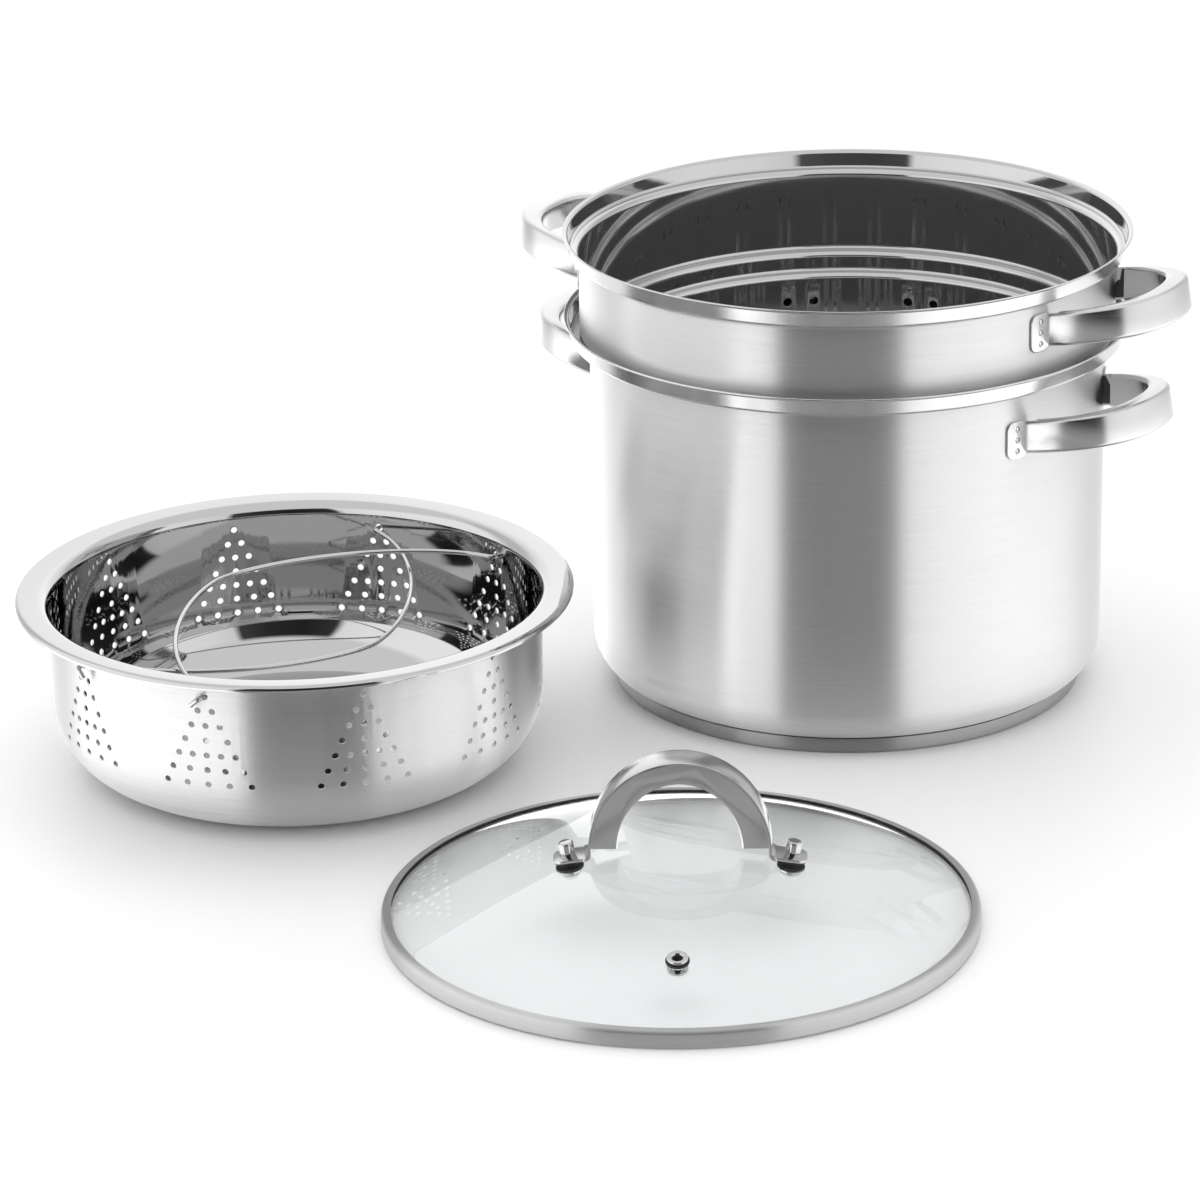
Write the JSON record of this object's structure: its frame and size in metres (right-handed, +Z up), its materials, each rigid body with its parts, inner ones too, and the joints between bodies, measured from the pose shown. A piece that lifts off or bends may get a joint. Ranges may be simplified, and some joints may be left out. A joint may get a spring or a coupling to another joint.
{
  "type": "pasta pot",
  "caption": "Stainless steel stock pot with a perforated pasta insert seated in it, a steamer basket with folding wire bails and a domed glass lid laid beside it.",
  "frame": {"origin": "on the table under the pot's axis, at the middle of the flat underside of the pot's base", "axes": "+Z up, +X through the pot's right side handle as seen from the front, -Y towards the front, where the basket and the lid lie"},
  "size_m": [0.5043, 0.5553, 0.2202],
  "materials": {
    "brushed_steel": "fine satin brushing round the walls, bright edges",
    "polished_steel": "mirror polished stainless steel",
    "aluminium": "plain pressed disc",
    "glass": "clear tempered glass, faintly green at the edge",
    "silicone": "matt black silicone"
  },
  "bodies": {
    "pot": {"pot_body": "brushed_steel", "pot_base_core": "aluminium", "pot_base_cap": "brushed_steel", "pot_handle_left": "brushed_steel", "pot_handle_right": "brushed_steel"},
    "insert": {"insert_body": "brushed_steel", "insert_handle_left": "brushed_steel", "insert_handle_right": "brushed_steel"},
    "basket": {"basket_body": "polished_steel"},
    "right_bail": {"bail_right": "polished_steel"},
    "left_bail": {"bail_left": "polished_steel"},
    "lid": {"lid_glass": "glass", "lid_rim": "brushed_steel", "lid_handle": "brushed_steel", "lid_gasket_left": "silicone", "lid_gasket_right": "silicone", "lid_nut_left": "polished_steel", "lid_nut_right": "polished_steel", "lid_screw_left": "polished_steel", "lid_screw_right": "polished_steel", "lid_washer_left": "silicone", "lid_washer_right": "silicone", "vent_eyelet": "polished_steel", "vent_gasket": "silicone"}
  },
  "joints": [
    {"name": "insert_lift", "type": "slide", "parent": "pot", "child": "insert", "axis": [0, 0, 1], "range_m": [0, 0.165]},
    {"name": "basket_lift", "type": "slide", "parent": "pot", "child": "basket", "axis": [0, 0, 1], "range_m": [0, 0.23]},
    {"name": "bail_right_swing", "type": "hinge", "parent": "basket", "child": "right_bail", "pos_m": [-0.13109, -0.22339, 0.0723], "axis": [0.0698, 0.9976, 0], "range_deg": [0, 130]},
    {"name": "bail_left_swing", "type": "hinge", "parent": "basket", "child": "left_bail", "pos_m": [-0.2007, -0.21852, 0.0723], "axis": [-0.0698, -0.9976, 0], "range_deg": [0, 130]},
    {"name": "lid_lift", "type": "slide", "parent": "pot", "child": "lid", "axis": [0, 0, 1], "range_m": [0, 0.23]}
  ],
  "couplings": [
    {"joint": "bail_left_swing", "follows": "bail_right_swing", "ratio": 1}
  ]
}
